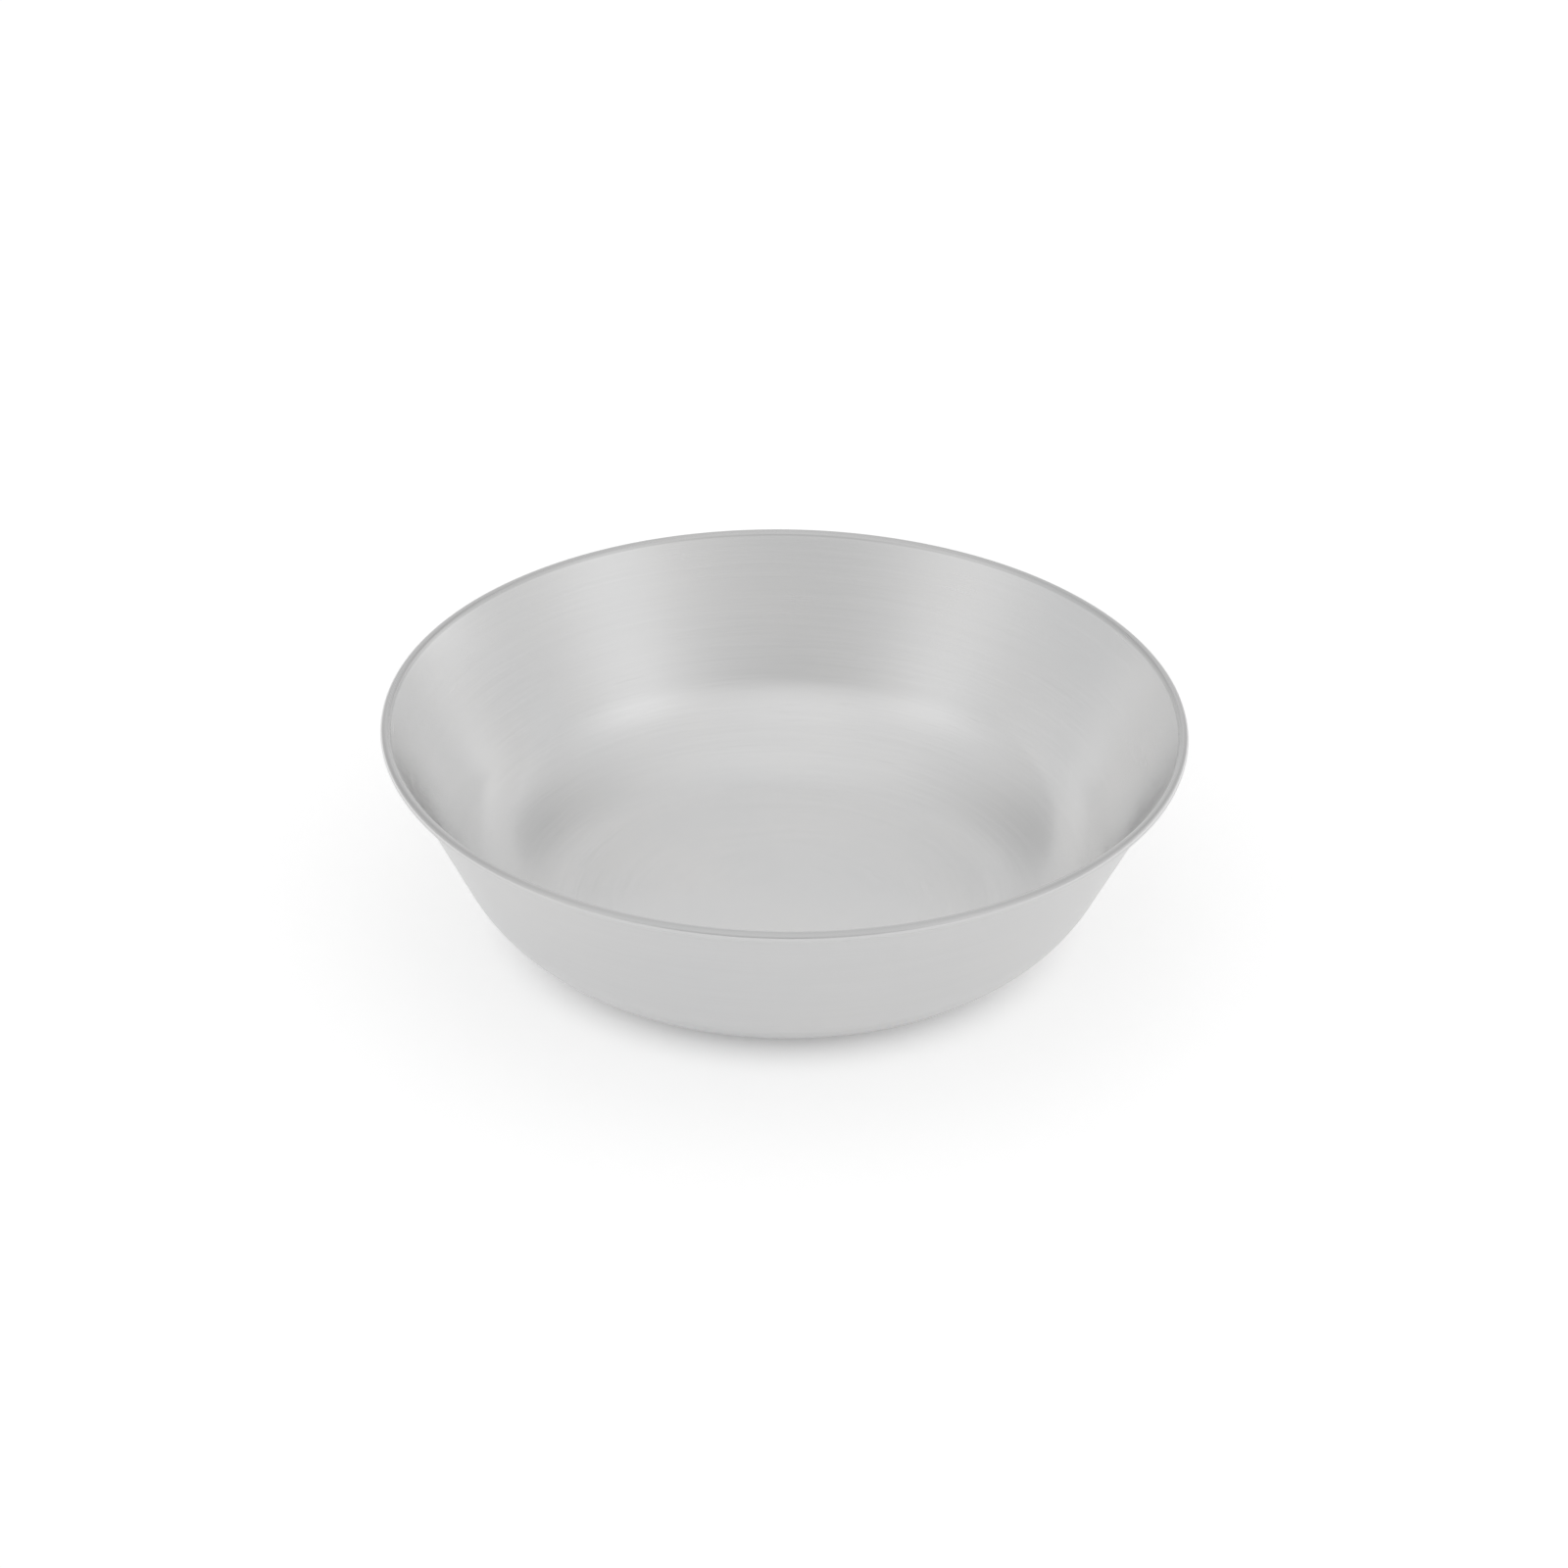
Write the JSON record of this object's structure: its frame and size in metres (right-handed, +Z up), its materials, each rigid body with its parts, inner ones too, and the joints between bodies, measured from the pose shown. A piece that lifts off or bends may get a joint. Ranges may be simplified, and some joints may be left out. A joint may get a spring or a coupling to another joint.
{
  "type": "evaporating dish",
  "caption": "Round flat-bottomed metal evaporating dish with a straight flared wall, a large base radius and an edge rolled outwards over a stiffening wire.",
  "frame": {"origin": "centre of the flat base, on the surface the dish stands on", "axes": "+Z up along the axis of revolution; the dish is round, so +X and +Y are free, and -Y is the side that faced the picture"},
  "size_m": [0.1, 0.1, 0.0275],
  "materials": {
    "satin_steel": "satin, finely brushed round the axis",
    "drawn_wire": "drawn wire, matt"
  },
  "bodies": {
    "root": {"dish_shell": "satin_steel", "rim_wire": "drawn_wire"}
  },
  "joints": []
}
